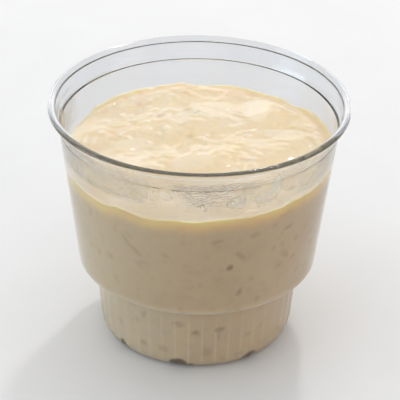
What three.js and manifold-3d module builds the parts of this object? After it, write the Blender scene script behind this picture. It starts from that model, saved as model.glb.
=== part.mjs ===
// Rice pudding in a clear footed dessert cup. Millimetres, +Z up.
// The origin is the centre of the ring that the cup stands on.

import * as THREE from "three";
import { mergeVertices } from "three/addons/utils/BufferGeometryUtils.js";
import Module from "manifold-3d";

// The cup's driving dimensions
const CUP_HEIGHT = 82;
const RIM_RADIUS = 47.5;
const RIM_BEAD = 1.1;
const WALL = 0.6;
const LEDGE_BELOW_RIM = 6.5;
const LEDGE_STEP = 0.45;
const COLLAR_TOP_RADIUS = 45.8;
const WALL_TOP_RADIUS = 44.35;
const SHOULDER_RADIUS = 38.7;
const SHOULDER_HEIGHT = 27;
const SHOULDER_CORNER = 0.4;
const FOOT_TOP_RADIUS = 33.4;
const FOOT_BOTTOM_RADIUS = 31.1;
const FOOT_CORNER = 4.7;
const RING_OUTER_RADIUS = 26.8;
const RING_INNER_RADIUS = 25;
const RING_LEAN = 1;
const BASE_RECESS = 2;
const FLUTES = 46;
const FLUTE_DEPTH_TOP = 0.08;
const FLUTE_DEPTH_BOTTOM = 0.26;

// The pudding's driving dimensions
const GAP = 0.3;
const FILL_HEIGHT = 64.1;
const SURFACE_TILT = 1.35;
const SURFACE_TILT_HEADING = 50;
const SURFACE_CROWN = 0.8;
const SURFACE_WAVES = [
  { height: 0.4, length: 37, heading: 20, shift: 40 },
  { height: 0.3, length: 23, heading: 105, shift: 200 },
  { height: 0.22, length: 16, heading: 155, shift: 310 },
];
const SURFACE_RINGS = 8;
const POCKET_LIFT = 2.2;
const POCKETS = [
  { bearing: 257.7, width: 6 },
  { bearing: 304.8, width: 5 },
  { bearing: 221, width: 3 },
];

// The rice grains that stand out of the surface
const GRAIN_LENGTH = 6.8;
const GRAIN_WIDTH = 2.7;
const GRAIN_SPREAD = 0.2;
const GRAIN_TILT = 14;
const GRAIN_SINK = 0.25;
const GRAIN_SPACING = 6.1;
const GRAIN_SIDES = 6;
const GRAIN_FLATNESS = 0.85;
const GRAIN_OUTLINE = [
  [0, -0.5],
  [0.38, -0.34],
  [0.5, 0],
  [0.38, 0.34],
  [0, 0.5],
];
const GRAIN_TRIES = 1400;
const GRAIN_SEED = 41;

const CUP_SIDES = 2 * FLUTES;
const PUDDING_SIDES = 64;
const FULL_TURN = 2 * Math.PI;
const ledgeHeight = CUP_HEIGHT - LEDGE_BELOW_RIM;
const beadHeight = CUP_HEIGHT - RIM_BEAD;
const footWall = WALL + FLUTE_DEPTH_BOTTOM / 2;
const floorHeight = BASE_RECESS + footWall;

const radians = THREE.MathUtils.degToRad;
const mix = THREE.MathUtils.lerp;

// Radius of the tapered wall's outside at a height between the shoulder and the ledge.
function wallRadius(height) {
  const share = (height - SHOULDER_HEIGHT) / (ledgeHeight - SHOULDER_HEIGHT);
  return mix(SHOULDER_RADIUS, WALL_TOP_RADIUS, share);
}

// Depth of the flutes at a height on the foot: deepest at the bottom.
function fluteDepth(height) {
  return mix(FLUTE_DEPTH_BOTTOM, FLUTE_DEPTH_TOP, height / SHOULDER_HEIGHT);
}

// Points of a round corner in an outline of radius and height.
function roundCorner(radius, height, size, fromDegrees, toDegrees, steps) {
  const points = [];
  for (let step = 0; step <= steps; step += 1) {
    const angle = radians(mix(fromDegrees, toDegrees, step / steps));
    points.push({
      radius: radius + size * Math.cos(angle),
      height: height + size * Math.sin(angle),
    });
  }
  return points;
}

// The outside of the foot, from the standing ring to the shoulder, with the depth of its flutes.
function footOutline() {
  const corner = roundCorner(RING_OUTER_RADIUS, FOOT_CORNER, FOOT_CORNER, -90, -8, 4);
  const top = { radius: FOOT_TOP_RADIUS, height: SHOULDER_HEIGHT - SHOULDER_CORNER };
  const middle = { radius: (FOOT_BOTTOM_RADIUS + FOOT_TOP_RADIUS) / 2, height: SHOULDER_HEIGHT / 2 };
  const points = [...corner, middle, top];
  return points.map((point) => ({ ...point, flute: point.height > 0 ? fluteDepth(point.height) : 0 }));
}

// The rolled rim: from under its outer edge, over the top, to the inside of the collar.
function beadOutline() {
  return roundCorner(RIM_RADIUS - RIM_BEAD, beadHeight, RIM_BEAD, -120, 150, 9);
}

// The cup's outline from the underside's centre round to the floor's centre inside.
function cupOutline() {
  const shoulderFloor = SHOULDER_HEIGHT - SHOULDER_CORNER + WALL;
  return [
    { radius: 0, height: BASE_RECESS },
    { radius: RING_INNER_RADIUS - RING_LEAN, height: BASE_RECESS },
    { radius: RING_INNER_RADIUS, height: 0 },
    ...footOutline(),
    ...roundCorner(SHOULDER_RADIUS - SHOULDER_CORNER, SHOULDER_HEIGHT, SHOULDER_CORNER, -90, 0, 2),
    { radius: wallRadius(ledgeHeight), height: ledgeHeight },
    { radius: WALL_TOP_RADIUS + LEDGE_STEP, height: ledgeHeight + LEDGE_STEP / 2 },
    ...beadOutline(),
    { radius: COLLAR_TOP_RADIUS - WALL, height: beadHeight - RIM_BEAD },
    { radius: WALL_TOP_RADIUS + LEDGE_STEP - WALL, height: ledgeHeight + LEDGE_STEP / 2 },
    { radius: wallRadius(ledgeHeight) - WALL, height: ledgeHeight - LEDGE_STEP / 2 },
    { radius: wallRadius(shoulderFloor) - WALL, height: shoulderFloor },
    { radius: footInside(shoulderFloor), height: shoulderFloor },
    ...channelOutline(footWall, 3),
    { radius: 0, height: floorHeight },
  ];
}

// Radius of the foot's smooth inside, clear of the flutes' troughs.
function footInside(height) {
  return mix(FOOT_BOTTOM_RADIUS, FOOT_TOP_RADIUS, height / SHOULDER_HEIGHT) - footWall;
}

// The hollow of the standing ring, that far in from the outside: its outer corner and its leaning inner side.
function channelOutline(depth, steps) {
  const aside = (depth * (Math.hypot(BASE_RECESS, RING_LEAN) - RING_LEAN)) / BASE_RECESS;
  return [
    ...roundCorner(RING_OUTER_RADIUS, FOOT_CORNER, FOOT_CORNER - depth, 0, -90, steps),
    { radius: RING_INNER_RADIUS + aside, height: depth },
    { radius: RING_INNER_RADIUS - RING_LEAN + aside, height: BASE_RECESS + depth },
  ];
}

// Height of the pudding's surface, without its grains, above a point of the cup's floor plan.
function surfaceHeight(x, y) {
  const reach = wallRadius(FILL_HEIGHT) - WALL;
  const out = Math.hypot(x, y) / reach;
  const waves = SURFACE_WAVES.map((wave) => {
    const along = x * Math.cos(radians(wave.heading)) + y * Math.sin(radians(wave.heading));
    return wave.height * Math.sin((FULL_TURN * along) / wave.length + radians(wave.shift));
  });
  const lumps = waves.reduce((sum, wave) => sum + wave, 0);
  const uphill = x * Math.cos(radians(SURFACE_TILT_HEADING)) + y * Math.sin(radians(SURFACE_TILT_HEADING));
  return FILL_HEIGHT + (SURFACE_TILT * uphill) / reach + SURFACE_CROWN * (1 - out * out) + lumps;
}

// How far the trapped air lifts the pudding's bottom corner at a bearing.
function pocketLift(turn) {
  const lifts = POCKETS.map((pocket) => {
    const away = Math.abs(THREE.MathUtils.radToDeg(turn) - pocket.bearing);
    return POCKET_LIFT * Math.max(0, 1 - away / pocket.width);
  });
  return Math.max(...lifts);
}

// A closed skin over rings of points. Each ring is a function of the turn; the ends are single points.
function closedSkin(sides, bottom, rings, top) {
  const positions = [bottom.x, bottom.y, bottom.z];
  rings.forEach((ring) => {
    for (let side = 0; side < sides; side += 1) {
      const point = ring((side / sides) * FULL_TURN, side);
      positions.push(point.x, point.y, point.z);
    }
  });
  positions.push(top.x, top.y, top.z);
  const index = [];
  const at = (ring, side) => 1 + ring * sides + (side % sides);
  const last = 1 + rings.length * sides;
  for (let side = 0; side < sides; side += 1) {
    index.push(0, at(0, side + 1), at(0, side));
    for (let ring = 0; ring + 1 < rings.length; ring += 1) {
      index.push(at(ring, side), at(ring, side + 1), at(ring + 1, side + 1));
      index.push(at(ring, side), at(ring + 1, side + 1), at(ring + 1, side));
    }
    index.push(at(rings.length - 1, side), at(rings.length - 1, side + 1), last);
  }
  const geometry = new THREE.BufferGeometry();
  geometry.setAttribute("position", new THREE.Float32BufferAttribute(positions, 3));
  geometry.setIndex(index);
  return geometry;
}

function pointAt(turn, radius, height) {
  return new THREE.Vector3(radius * Math.cos(turn), radius * Math.sin(turn), height);
}

// The cup: its outline turned about the axis, with every second line of the foot drawn in as a flute.
function cupGeometry() {
  const outline = cupOutline();
  const rings = outline.slice(1, -1).map((point) => (turn, side) => {
    const flute = side % 2 === 1 && point.flute ? point.flute : 0;
    return pointAt(turn, point.radius - flute, point.height);
  });
  return closedSkin(CUP_SIDES, pointAt(0, 0, BASE_RECESS), rings, pointAt(0, 0, floorHeight));
}

// The pudding's side outline, a gap away from the cup's inside, from the ring's channel to the shoulder.
function puddingOutline() {
  const shoulder = SHOULDER_HEIGHT - SHOULDER_CORNER + WALL + GAP;
  return [
    ...channelOutline(footWall + GAP, 3).reverse(),
    { radius: footInside(shoulder) - GAP, height: shoulder },
    { radius: wallRadius(shoulder) - WALL - GAP, height: shoulder },
  ];
}

// The body of the pudding: the cup's inside up to an uneven surface.
function bodyGeometry() {
  const bottom = floorHeight + GAP;
  const sideRings = puddingOutline().map((point) => (turn) => {
    const nearFloor = point.radius > RING_INNER_RADIUS ? Math.max(0, 1 - point.height / FOOT_CORNER) : 0;
    return pointAt(turn, point.radius, point.height + pocketLift(turn) * nearFloor);
  });
  const surfaceRings = [];
  for (let ring = SURFACE_RINGS; ring > 0; ring -= 1) {
    const radius = ((wallRadius(FILL_HEIGHT - 2) - WALL - GAP) * ring) / SURFACE_RINGS;
    surfaceRings.push((turn) => {
      const flat = pointAt(turn, radius, 0);
      return flat.setZ(surfaceHeight(flat.x, flat.y));
    });
  }
  const top = pointAt(0, 0, surfaceHeight(0, 0));
  return closedSkin(PUDDING_SIDES, pointAt(0, 0, bottom), [...sideRings, ...surfaceRings], top);
}

// A repeatable draw between 0 and 1.
function seededDraw(seed) {
  let state = seed;
  return () => {
    state = (state * 1664525 + 1013904223) % 4294967296;
    return state / 4294967296;
  };
}

// Places for the grains: spread evenly by a least distance, each lying on the surface inside the wall.
function grainPlaces() {
  const draw = seededDraw(GRAIN_SEED);
  const places = [];
  const reach = wallRadius(FILL_HEIGHT) - WALL - 4 * GAP;
  for (let attempt = 0; attempt < GRAIN_TRIES; attempt += 1) {
    const from = Math.sqrt(draw()) * reach;
    const centre = pointAt(draw() * FULL_TURN, from, 0);
    const length = GRAIN_LENGTH * (1 + GRAIN_SPREAD * (2 * draw() - 1));
    const place = { centre, length, heading: draw() * Math.PI, tilt: radians(GRAIN_TILT) * (2 * draw() - 1) };
    const half = pointAt(place.heading, length / 2, 0);
    const ends = [centre.clone().add(half), centre.clone().sub(half)];
    const inside = ends.every((end) => end.length() < reach - GRAIN_WIDTH / 2);
    if (inside && places.every((other) => other.centre.distanceTo(centre) > GRAIN_SPACING)) {
      places.push(place);
    }
  }
  return places;
}

// One grain: a blunt-ended lump, lying in the surface with its back out.
function grainGeometry({ centre, length, heading, tilt }) {
  const outline = GRAIN_OUTLINE.map(([across, along]) => new THREE.Vector2(across, along));
  const grain = new THREE.LatheGeometry(outline, GRAIN_SIDES);
  grain.rotateZ(-Math.PI / 2);
  grain.scale(length, GRAIN_WIDTH, GRAIN_WIDTH * GRAIN_FLATNESS);
  grain.rotateY(tilt);
  grain.rotateZ(heading);
  grain.translate(centre.x, centre.y, surfaceHeight(centre.x, centre.y) - GRAIN_SINK);
  return grain;
}

const wasm = await Module();
wasm.setup();

// A closed geometry as a solid that can be joined.
function solidOf(geometry) {
  const bare = geometry.clone();
  bare.deleteAttribute("normal");
  bare.deleteAttribute("uv");
  const merged = mergeVertices(bare, 1e-4);
  const vertProperties = new Float32Array(merged.getAttribute("position").array);
  const triVerts = new Uint32Array(merged.index.array);
  return new wasm.Manifold(new wasm.Mesh({ numProp: 3, vertProperties, triVerts }));
}

function geometryOf(solid) {
  const mesh = solid.getMesh();
  const geometry = new THREE.BufferGeometry();
  geometry.setAttribute("position", new THREE.Float32BufferAttribute(mesh.vertProperties, 3));
  geometry.setIndex(Array.from(mesh.triVerts));
  return geometry;
}

// The pudding with the grains that show fused on.
function puddingGeometry() {
  let pudding = solidOf(bodyGeometry());
  grainPlaces().forEach((place) => {
    pudding = pudding.add(solidOf(grainGeometry(place)));
  });
  return geometryOf(pudding);
}

const clearPlastic = new THREE.MeshStandardMaterial({
  color: 0xe6e7e8,
  roughness: 0.12,
  metalness: 0,
  transparent: true,
  opacity: 0.35,
});
const cookedRiceCream = new THREE.MeshStandardMaterial({ color: 0xeedcc0, roughness: 0.45, metalness: 0 });

function namedMesh(name, geometry, material) {
  geometry.computeVertexNormals();
  const mesh = new THREE.Mesh(geometry, material);
  mesh.name = name;
  return mesh;
}

const dessert = new THREE.Group();
dessert.add(namedMesh("cup", cupGeometry(), clearPlastic));
dessert.add(namedMesh("rice_pudding", puddingGeometry(), cookedRiceCream));

export default dessert;
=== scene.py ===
# Rice pudding in its clear footed dessert cup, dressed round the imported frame.
# Shapes are worked out in millimetres, as the cup's maker would, and go into the meshes as metres.
# Angles are written in degrees. A bearing is one about the cup's axis: -90 is the front.
import math

import bpy
import numpy as np
from mathutils import Matrix, Vector


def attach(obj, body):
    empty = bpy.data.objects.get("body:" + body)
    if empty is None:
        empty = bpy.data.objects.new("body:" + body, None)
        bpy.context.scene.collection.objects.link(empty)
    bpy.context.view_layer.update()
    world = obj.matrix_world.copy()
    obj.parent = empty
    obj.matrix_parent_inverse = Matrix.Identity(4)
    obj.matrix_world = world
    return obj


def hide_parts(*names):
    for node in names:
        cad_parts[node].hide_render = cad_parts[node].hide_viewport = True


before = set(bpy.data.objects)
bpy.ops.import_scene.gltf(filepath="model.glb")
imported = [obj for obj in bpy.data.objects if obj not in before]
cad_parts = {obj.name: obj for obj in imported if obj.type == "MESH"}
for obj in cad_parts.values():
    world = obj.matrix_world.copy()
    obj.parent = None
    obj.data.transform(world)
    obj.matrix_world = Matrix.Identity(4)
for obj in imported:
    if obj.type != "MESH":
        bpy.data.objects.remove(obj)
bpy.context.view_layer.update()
MM = 0.001
TURN = 2 * math.pi

# The cup
RIM_RADIUS = 47.5
CUP_HEIGHT = 82.0
BEAD = 1.1
WALL = 0.6
LEDGE_HEIGHT = 75.5
LEDGE_STEP = 0.45
LEDGE_HALF = 0.9
COLLAR_TOP_RADIUS = 45.8
WALL_TOP_RADIUS = 44.35
SHOULDER_RADIUS = 38.7
SHOULDER_HEIGHT = 27.0
SHOULDER_CORNER = 0.4
FOOT_TOP_RADIUS = 33.4
FOOT_BOTTOM_RADIUS = 31.1
FOOT_CORNER = 4.7
RING_OUTER_RADIUS = 26.8
RING_INNER_RADIUS = 25.0
RING_LEAN = 1.0
BASE_RECESS = 2.0
BASE_CROWN = 0.5
BASE_CROWN_RADIUS = 18.0
FLUTES = 46
FLUTE_DEPTH_BOTTOM = 0.26
FLUTE_DEPTH_TOP = 0.08
FOOT_WALL = WALL + FLUTE_DEPTH_BOTTOM / 2

# The pudding, as the solid has it. A wave of its surface is rise, length, heading and shift
GAP = 0.3
FILL_HEIGHT = 64.1
SURFACE_TILT = 1.35
SURFACE_TILT_HEADING = 50
SURFACE_CROWN = 0.8
SURFACE_WAVES = ((0.4, 37, 20, 40), (0.3, 23, 105, 200), (0.22, 16, 155, 310))

# Grains of rice, as the solid has them
GRAIN_LENGTH = 6.8
GRAIN_WIDTH = 2.7
GRAIN_FLATNESS = 0.85
GRAIN_SPREAD = 0.2
GRAIN_TILT = 14
GRAIN_SINK = 0.25
GRAIN_SPACING = 6.1
GRAIN_MARGIN = 4 * GAP
GRAIN_TRIES = 1400
GRAIN_SEED = 41


# ---------------------------------------------------------------- numbers


def draws(seed):
    """Random draws that come out the same each run."""
    return np.random.default_rng(seed)


def mix(low, high, share):
    """low at a share of 0 and high at 1."""
    return low + (high - low) * share


def ramp(low, high, value):
    """0 before low, 1 past high and smooth between."""
    share = np.clip((value - low) / (high - low), 0, 1)
    return share * share * (3 - 2 * share)


def rise_and_fall(value, start, full, fading, end):
    """0 before start, 1 from full to fading, 0 past end and smooth between."""
    return ramp(start, full, value) * ramp(end, fading, value)


# How many cells of noise there are each way before it repeats
LATTICE = 32


def cloud(points, size, seed):
    """Smooth noise from -1 to 1 at points of shape (..., 3), with features about size across."""
    lattice = draws(seed).uniform(-1, 1, (LATTICE, LATTICE, LATTICE))
    place = np.asarray(points, float) / size
    cell = np.floor(place).astype(int)
    part = place - cell
    part = part * part * (3 - 2 * part)
    total = np.zeros(place.shape[:-1])
    for corner in np.ndindex(2, 2, 2):
        weight = np.ones_like(total)
        index = []
        for axis in range(3):
            share = part[..., axis]
            weight = weight * (share if corner[axis] else 1 - share)
            index.append((cell[..., axis] + corner[axis]) % LATTICE)
        total += weight * lattice[tuple(index)]
    return total


def plan(x, y):
    """Points on the flat, for noise to be read at."""
    return np.stack([x, y, np.zeros_like(x)], -1)


def turned(x, y, heading):
    """How far a place lies along a heading and across it."""
    c, s = math.cos(heading), math.sin(heading)
    return c * x + s * y, c * y - s * x


def round_place(radius, turn, height):
    """Points from their radius, turn about the cup's axis and height."""
    radius, turn, height = np.broadcast_arrays(radius, turn, height)
    return np.stack([radius * np.cos(turn), radius * np.sin(turn), height], -1)


def away(turn, degrees):
    """How many degrees a turn is from a bearing, from -180 to 180."""
    return (np.degrees(turn) - degrees + 180) % 360 - 180


def stretch(turn, start, end, fade):
    """1 between two bearings, dying away to 0 at both over so many degrees."""
    return ramp(0, fade, away(turn, start)) * ramp(0, fade, -away(turn, end))


def oval(turn, height, bearing, middle, half_turn, half_height):
    """How far out of an oval on the wall a place is: 0 at its middle and 1 on its outline."""
    return (away(turn, bearing) / half_turn) ** 2 + ((height - middle) / half_height) ** 2


def bell(distance, half):
    """1 at no distance, falling smoothly to a third at half and on to nothing."""
    return np.exp(-((distance / half) ** 2))


def flute_turns(shares):
    """Turns all round, at the same shares of each flute, and the share that each is at."""
    share = np.tile(shares, FLUTES)
    return (np.repeat(np.arange(FLUTES), len(shares)) + share) / FLUTES * TURN, share


# ---------------------------------------------------------------- meshes


def closed_skin(first, rings, last):
    """Points and faces of a closed skin: rings of shape (rings, sides, 3) between two single points."""
    count, sides = rings.shape[:2]
    points = np.vstack([[first], rings.reshape(-1, 3), [last]])
    side = np.arange(sides)
    beside = (side + 1) % sides
    faces = [(0, 1 + b, 1 + a) for a, b in zip(side.tolist(), beside.tolist())]
    for ring in range(count - 1):
        low = 1 + ring * sides
        high = low + sides
        faces += np.stack([low + side, low + beside, high + beside, high + side], 1).tolist()
    top = 1 + (count - 1) * sides
    faces += [(top + a, top + b, top + sides) for a, b in zip(side.tolist(), beside.tolist())]
    return points, faces


def between_ends(values):
    """A measure of the rings of a closed skin, with 0 at its two end points."""
    return np.concatenate([[0], values.ravel(), [0]])


def joined(shapes):
    """Many shapes, each its points and faces, as one."""
    points, faces, start = [], [], 0
    for shape_points, shape_faces in shapes:
        points.append(shape_points)
        faces += [tuple(start + corner for corner in face) for face in shape_faces]
        start += len(shape_points)
    return np.vstack(points), faces


def placed(shape, matrix):
    """A shape, turned and moved."""
    points, faces = shape
    return points @ np.array(matrix.to_3x3()).T + np.array(matrix.translation), faces


def new_piece(name, shape, material, measures=None):
    """A mesh from a shape in millimetres, riding on the cup. A measure is a number for each point."""
    points, faces = shape
    mesh = bpy.data.meshes.new(name)
    mesh.from_pydata((np.asarray(points) * MM).tolist(), [], faces)
    mesh.shade_smooth()
    mesh.materials.append(material)
    for label, values in (measures or {}).items():
        numbers = mesh.attributes.new(label, "FLOAT", "POINT")
        numbers.data.foreach_set("value", np.asarray(values, np.float32))
    piece = bpy.data.objects.new(name, mesh)
    bpy.context.scene.collection.objects.link(piece)
    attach(piece, "root")
    return piece


def arc(radius, height, size, start, end, steps):
    """Points of a round corner in an outline of radius and height."""
    turns = np.radians(np.linspace(start, end, steps + 1))
    return [(radius + size * math.cos(a), height + size * math.sin(a)) for a in turns]


ROUNDING_STEPS = 5
# The most of a side that the rounding at one of its ends takes
ROUNDING_SHARE = 0.45


def softened(corners):
    """An outline with its corners rounded. A corner is its radius, its height and, unless it is left as it
    is, how far off its rounding starts."""
    path = [corners[0][:2]]
    for before, corner, after in zip(corners, corners[1:], corners[2:]):
        if len(corner) == 2:
            path.append(corner)
            continue
        at = np.array(corner[:2], float)
        back = np.array(before[:2], float) - at
        ahead = np.array(after[:2], float) - at
        reach = min(corner[2], ROUNDING_SHARE * np.hypot(*back), ROUNDING_SHARE * np.hypot(*ahead))
        start = at + back / np.hypot(*back) * reach
        end = at + ahead / np.hypot(*ahead) * reach
        for share in np.linspace(0, 1, ROUNDING_STEPS + 1):
            bend = (1 - share) ** 2 * start + 2 * share * (1 - share) * at + share**2 * end
            path.append(tuple(bend))
    path.append(corners[-1][:2])
    return path


# ---------------------------------------------------------------- finishes


def linear(code):
    """A colour written as sRGB hex, as the linear numbers that a shader takes."""
    parts = [int(code[i : i + 2], 16) / 255 for i in (1, 3, 5)]
    straight = [c / 12.92 if c <= 0.04045 else ((c + 0.055) / 1.055) ** 2.4 for c in parts]
    return (*straight, 1.0)


def new_material(name):
    """A material that has no nodes yet."""
    material = bpy.data.materials.new(name)
    material.use_nodes = True
    material.node_tree.nodes.clear()
    return material


def add_node(material, kind, inputs=None, output=0, **settings):
    """Adds a node with its settings and links, and gives back one of its outputs."""
    node = material.node_tree.nodes.new(kind)
    for name, value in settings.items():
        setattr(node, name, value)
    for name, value in (inputs or {}).items():
        if isinstance(value, bpy.types.NodeSocket):
            material.node_tree.links.new(value, node.inputs[name])
        else:
            node.inputs[name].default_value = value
    return node.outputs[output] if node.outputs else None


def patches(material, size, low, high, strength=1.0, where=None, detail=2.0, flat=1.0):
    """Noise of features about size millimetres across: 0 under low and strength over high. A flat of 2
    makes them half as high as they are wide."""
    place = add_node(material, "ShaderNodeTexCoord", output="Object")
    place = add_node(material, "ShaderNodeVectorMath", {0: place, 1: (1, 1, flat)}, operation="MULTIPLY")
    noise = {"Vector": place, "Scale": 1 / (size * MM), "Detail": detail}
    noise = add_node(material, "ShaderNodeTexNoise", noise)
    share = {"Value": noise, "From Min": low, "From Max": high, "To Max": strength}
    share = add_node(material, "ShaderNodeMapRange", share)
    if where is None:
        return share
    return add_node(material, "ShaderNodeMath", {0: share, 1: where}, operation="MULTIPLY")


def relief(material, layers):
    """Bumps in layers, each its pattern and how many millimetres high that stands."""
    under = {}
    for pattern, depth in layers:
        inputs = {"Height": pattern, "Strength": 1.0, "Distance": depth * MM, **under}
        under = {"Normal": add_node(material, "ShaderNodeBump", inputs)}
    return under["Normal"]


# Sockets of the node that mixes two colours
MIX_SHARE, MIX_FIRST, MIX_SECOND, MIX_RESULT = 0, 6, 7, 2


def layered(material, base, layers):
    """A base colour under layers, each its share and its colour."""
    tone = linear(base)
    for share, code in layers:
        inputs = {MIX_SHARE: share, MIX_FIRST: tone, MIX_SECOND: linear(code)}
        tone = add_node(material, "ShaderNodeMix", inputs, MIX_RESULT, data_type="RGBA")
    return tone


def solid_finish(material, inputs):
    """A finish that isn't seen through."""
    shader = add_node(material, "ShaderNodeBsdfPrincipled", inputs)
    add_node(material, "ShaderNodeOutputMaterial", {"Surface": shader})
    return material


# The share of a lamp's light that gets through a clear surface
LAMPS_PASS = 0.9


def clear_finish(material, inputs):
    """A clear finish that stops no lamp, so that what it holds is lit."""
    clear = add_node(material, "ShaderNodeBsdfPrincipled", inputs)
    lamp = add_node(material, "ShaderNodeLightPath", output="Is Shadow Ray")
    tint = (LAMPS_PASS, LAMPS_PASS, LAMPS_PASS, 1)
    unseen = add_node(material, "ShaderNodeBsdfTransparent", {"Color": tint})
    shader = add_node(material, "ShaderNodeMixShader", {0: lamp, 1: clear, 2: unseen})
    add_node(material, "ShaderNodeOutputMaterial", {"Surface": shader})
    return material


CLEAR_ROUGHNESS, MISTED_ROUGHNESS = 0.03, 0.28
# How blurred the rolled rim is, as a share of what mist does
ROLLED_BLUR = 0.1
# Mist gathers in ripples, that many times as wide as high
RIPPLE_FLATNESS = 2.6


def formed_polystyrene():
    """Clear polystyrene sheet, formed thin: glossy and faintly grey, with the slow waves that a thin wall
    cools into. Inside, breath of the warm pudding has misted the wall, which blurs what is behind."""
    material = new_material("clear_polystyrene_formed")
    mist = add_node(material, "ShaderNodeAttribute", output="Fac", attribute_name="mist")
    rolled = add_node(material, "ShaderNodeAttribute", output="Fac", attribute_name="rolled")
    blur = add_node(material, "ShaderNodeMath", {0: rolled, 1: ROLLED_BLUR}, operation="MULTIPLY")
    blur = add_node(material, "ShaderNodeMath", {0: mist, 1: blur}, operation="MAXIMUM")
    roughness = {"Value": blur, "To Min": CLEAR_ROUGHNESS, "To Max": MISTED_ROUGHNESS}
    waves = patches(material, 16, 0, 1, detail=1.0)
    droplets = patches(material, 0.9, 0.35, 0.65, where=mist, flat=RIPPLE_FLATNESS)
    inputs = {
        "Base Color": linear("#e9ebee"),
        "Roughness": add_node(material, "ShaderNodeMapRange", roughness),
        "IOR": 1.57,
        "Transmission Weight": 1.0,
        "Normal": relief(material, [(waves, 0.12), (droplets, 0.18)]),
    }
    return clear_finish(material, inputs)


def condensed_water():
    """Water condensed on the cold wall: tiny clear lenses."""
    material = new_material("condensed_water")
    inputs = {
        "Base Color": linear("#ffffff"),
        "Roughness": 0.02,
        "IOR": 1.33,
        "Transmission Weight": 1.0,
    }
    return clear_finish(material, inputs)


def rice_cream():
    """Milk thickened with rice starch: light sinks in, so edges glow warm, and it is wet enough to glint.
    Against the wall its whey makes it greyer, and rice pressed there shows through as darker blots. Its
    colour also carries painted light: paler lines at the ribs, over the shoulder and in the foot, a
    yellower glow band under the surface's edge, pale wet tips, and painted shade at air hollows."""
    material = new_material("rice_cream_cooked")
    names = ("whey", "pale_and_glow", "painted_glow_band", "rice", "hollow", "crumbs")
    whey, pale_and_glow, painted_glow_band, rice, hollow, crumbed = [
        add_node(material, "ShaderNodeAttribute", output="Fac", attribute_name=name) for name in names
    ]
    layers = (
        (patches(material, 15, 0.35, 0.65), "#f0dcb9"),
        (patches(material, 3.0, 0.45, 0.75, strength=0.35), "#f3e3c6"),
        (whey, "#e6d2ae"),
        (patches(material, 3.2, 0.55, 0.7, strength=0.2, where=whey), "#cbb28c"),
        (patches(material, 9, 0.5, 0.72, strength=0.25, where=whey), "#d6bc93"),
        # Paler cream: its own pale patches and rice, and painted glow and highlight where light would fall
        (pale_and_glow, "#f8e9cf"),
        # Painted glow band under the surface's edge
        (painted_glow_band, "#ffe3a6"),
        (rice, "#ab8b61"),
        # Painted shade where air hollows meet the wall
        (hollow, "#84705a"),
    )
    smooth = patches(material, 1.4, 0, 1)
    crumbs = patches(material, 1.1, 0, 1, where=crumbed)
    inputs = {
        "Base Color": layered(material, "#eed5aa", layers),
        "Roughness": 0.42,
        "IOR": 1.38,
        "Subsurface Weight": 1.0,
        "Subsurface Radius": (1.0, 0.82, 0.46),
        "Subsurface Scale": 2.6 * MM,
        "Coat Weight": 0.8,
        "Coat Roughness": 0.06,
        "Coat IOR": 1.34,
        "Normal": relief(material, [(smooth, 0.06), (crumbs, 0.25)]),
    }
    return solid_finish(material, inputs)


def boiled_rice():
    """Boiled short-grain rice: a little whiter than the cream, with a wet skin that catches the light."""
    material = new_material("boiled_rice_wet")
    inputs = {
        "Base Color": layered(material, "#f3e0bd", [(patches(material, 2.2, 0.3, 0.7), "#f8ead0")]),
        "Roughness": 0.3,
        "IOR": 1.4,
        "Coat Weight": 0.9,
        "Coat Roughness": 0.06,
        "Normal": relief(material, [(patches(material, 0.7, 0, 1), 0.06)]),
    }
    return solid_finish(material, inputs)


def milk_film():
    """Milk left on the wall: cloudy white and thin enough to glow with the light on its other side. Where
    mist stands on it, it is broken into fine darker ripples."""
    material = new_material("milk_film_drying")
    names = ("mist", "rich", "cover")
    mist, rich, cover = [
        add_node(material, "ShaderNodeAttribute", output="Fac", attribute_name=name) for name in names
    ]
    rippled = {"where": mist, "detail": 3.0, "flat": RIPPLE_FLATNESS}
    layers = (
        (patches(material, 6, 0.4, 0.7, strength=0.6), "#ffe4c0"),
        (rich, "#fff0dc"),
        (patches(material, 1.3, 0.48, 0.62, strength=0.9, **rippled), "#cfae86"),
    )
    inputs = {
        "Base Color": layered(material, "#ffdcb2", layers),
        "Roughness": 0.4,
        "IOR": 1.36,
        "Subsurface Weight": 1.0,
        "Subsurface Radius": (1.0, 0.92, 0.8),
        "Subsurface Scale": 0.9 * MM,
        "Alpha": cover,
        "Normal": relief(material, [(patches(material, 1.3, 0.4, 0.62, **rippled), 0.12)]),
    }
    return solid_finish(material, inputs)


def matt_board():
    """A matt painted board, white and almost even."""
    material = new_material("matt_painted_board")
    inputs = {
        "Base Color": layered(material, "#f0f0f1", [(patches(material, 40, 0.3, 0.7), "#f3f3f4")]),
        "Roughness": 0.85,
        "Normal": relief(material, [(patches(material, 1.2, 0, 1), 0.03)]),
    }
    return solid_finish(material, inputs)


# ---------------------------------------------------------------- the cup


def wall_outside(height):
    share = (height - SHOULDER_HEIGHT) / (LEDGE_HEIGHT - SHOULDER_HEIGHT)
    return mix(SHOULDER_RADIUS, WALL_TOP_RADIUS, share)


def wall_inside(height):
    return wall_outside(height) - WALL


def foot_inside(height):
    return mix(FOOT_BOTTOM_RADIUS, FOOT_TOP_RADIUS, height / SHOULDER_HEIGHT) - FOOT_WALL


def collar_outside(height):
    """Radius of the outside from the shoulder up, the ledge and the collar over it included."""
    share = (height - LEDGE_HEIGHT) / (CUP_HEIGHT - 2 * BEAD - LEDGE_HEIGHT)
    collar = mix(WALL_TOP_RADIUS + LEDGE_STEP, COLLAR_TOP_RADIUS, share)
    over_ledge = ramp(LEDGE_HEIGHT - LEDGE_HALF, LEDGE_HEIGHT + LEDGE_HALF, height)
    return mix(wall_outside(height), collar, over_ledge)


def collar_inside(height):
    return collar_outside(height) - WALL


# Rows of points down the upper wall: where they end, and how far apart they are there and on the ledge
MIST_LOWEST = 63.3
WALL_ROW = 0.5
LEDGE_ROW = 0.12


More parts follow.
